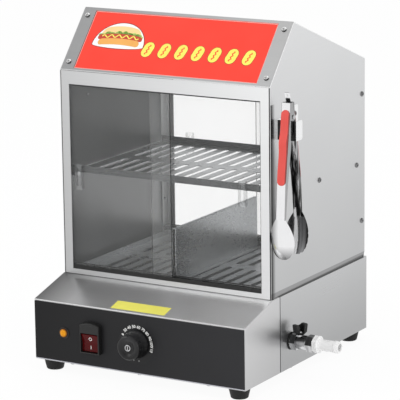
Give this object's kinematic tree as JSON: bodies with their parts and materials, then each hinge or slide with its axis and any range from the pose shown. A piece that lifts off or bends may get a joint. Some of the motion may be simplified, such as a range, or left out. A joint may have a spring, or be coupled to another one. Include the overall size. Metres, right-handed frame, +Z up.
{
  "type": "hot dog steamer",
  "caption": "Counter-top hot dog steamer: stainless base with water tank and controls, hut-shaped glazed cabinet with sliding doors, and tongs hung on the side.",
  "frame": {"origin": "bottom centre of the box round the whole appliance, with its knob, drain nozzle and cable gland", "axes": "+X to the drain valve side (the right, seen from the front), +Y to the back, +Z up"},
  "size_m": [0.4596, 0.4452, 0.5499],
  "materials": {
    "steel": "brushed stainless sheet",
    "black_panel": "satin black",
    "plated": "plated screws",
    "rubber": "matt black rubber",
    "clear": "clear",
    "pane": "clear pane",
    "red_sign": "printed red",
    "red_lens": "translucent red",
    "amber_lens": "translucent amber",
    "black_plastic": "moulded black",
    "white_plastic": "moulded white",
    "silicone": "red silicone",
    "brass": "turned",
    "chromed": "nickel plated",
    "element": "heat-dulled tube",
    "ceramic": "glazed"
  },
  "bodies": {
    "cabinet": {"control_housing": "steel", "control_panel": "black_panel", "base_shell": "steel", "bottom_plate": "steel", "rubber_feet": "rubber", "foot_screws": "plated", "bottom_screws": "plated", "water_tank": "steel", "heating_element": "element", "tank_gland_nuts": "brass", "temperature_probe": "chromed", "thermal_cutout": "ceramic", "thermostat_body": "black_plastic", "switch_body": "black_plastic", "lamp_body": "black_plastic", "lamp_lens": "amber_lens", "terminal_block": "ceramic", "cable_gland": "black_plastic", "drain_pipe": "chromed", "drain_gasket": "rubber", "drain_locknut": "chromed", "valve_body": "chromed", "drain_nozzle": "white_plastic", "outer_cover": "steel", "sign_panel": "red_sign", "sign_screws": "plated", "side_screws": "plated", "front_frame": "steel", "rear_frame": "steel", "front_lower_track": "black_plastic", "front_upper_track": "black_plastic", "rear_lower_track": "black_plastic", "rear_upper_track": "black_plastic", "bun_shelf": "steel", "shelf_pegs": "plated", "sausage_tray": "steel", "tray_divider": "steel", "tong_bracket": "steel"},
    "front_left_door": {"front_left_door": "pane", "front_left_handle": "clear"},
    "front_right_door": {"front_right_door": "pane", "front_right_handle": "clear"},
    "rear_left_door": {"rear_left_door": "pane", "rear_left_handle": "clear"},
    "rear_right_door": {"rear_right_door": "pane", "rear_right_handle": "clear"},
    "rocker": {"power_rocker": "red_lens"},
    "knob": {"temperature_knob": "black_plastic", "thermostat_shaft": "chromed"},
    "drain_valve": {"valve_ball": "chromed", "valve_lever": "black_plastic", "lever_screw": "plated"},
    "tongs": {"tong_rear_arm": "chromed", "tong_rear_grip": "silicone", "tong_pivot_pin": "plated", "tong_spring": "plated"},
    "tong_arm": {"tong_front_arm": "chromed", "tong_front_grip": "silicone"},
    "lock_tab": {"tong_lock_tab": "chromed"}
  },
  "joints": [
    {"name": "front_left_slide", "type": "slide", "parent": "cabinet", "child": "front_left_door", "axis": [1, 0, 0], "range_m": [0, 0.1724]},
    {"name": "front_right_slide", "type": "slide", "parent": "cabinet", "child": "front_right_door", "axis": [1, 0, 0], "range_m": [-0.1519, 0.0205]},
    {"name": "rear_left_slide", "type": "slide", "parent": "cabinet", "child": "rear_left_door", "axis": [-1, 0, 0], "range_m": [0, 0.1724]},
    {"name": "rear_right_slide", "type": "slide", "parent": "cabinet", "child": "rear_right_door", "axis": [-1, 0, 0], "range_m": [-0.1519, 0.0205]},
    {"name": "rocker_hinge", "type": "hinge", "parent": "cabinet", "child": "rocker", "pos_m": [-0.12265, -0.19595, 0.0578], "axis": [1, 0, 0], "range_deg": [-14, 0]},
    {"name": "knob_turn", "type": "hinge", "parent": "cabinet", "child": "knob", "pos_m": [-0.04285, -0.20695, 0.0654], "axis": [0, 1, 0], "range_deg": [-62, 100]},
    {"name": "drain_turn", "type": "hinge", "parent": "cabinet", "child": "drain_valve", "pos_m": [0.16165, -0.05145, 0.0598], "axis": [0, 0, 1], "range_deg": [-67, 23]},
    {"name": "tongs_lift", "type": "slide", "parent": "cabinet", "child": "tongs", "axis": [0, 0, 1], "range_m": [0, 0.06]},
    {"name": "tongs_squeeze", "type": "hinge", "parent": "tongs", "child": "tong_arm", "pos_m": [0.16745, -0.09435, 0.4176], "axis": [1, 0, 0], "range_deg": [0, 6], "stiffness_Nm_per_rad": 0.15, "springref_deg": -11.46},
    {"name": "lock_pull", "type": "slide", "parent": "tongs", "child": "lock_tab", "axis": [0, 0, 1], "range_m": [-0.003, 0.003]}
  ]
}
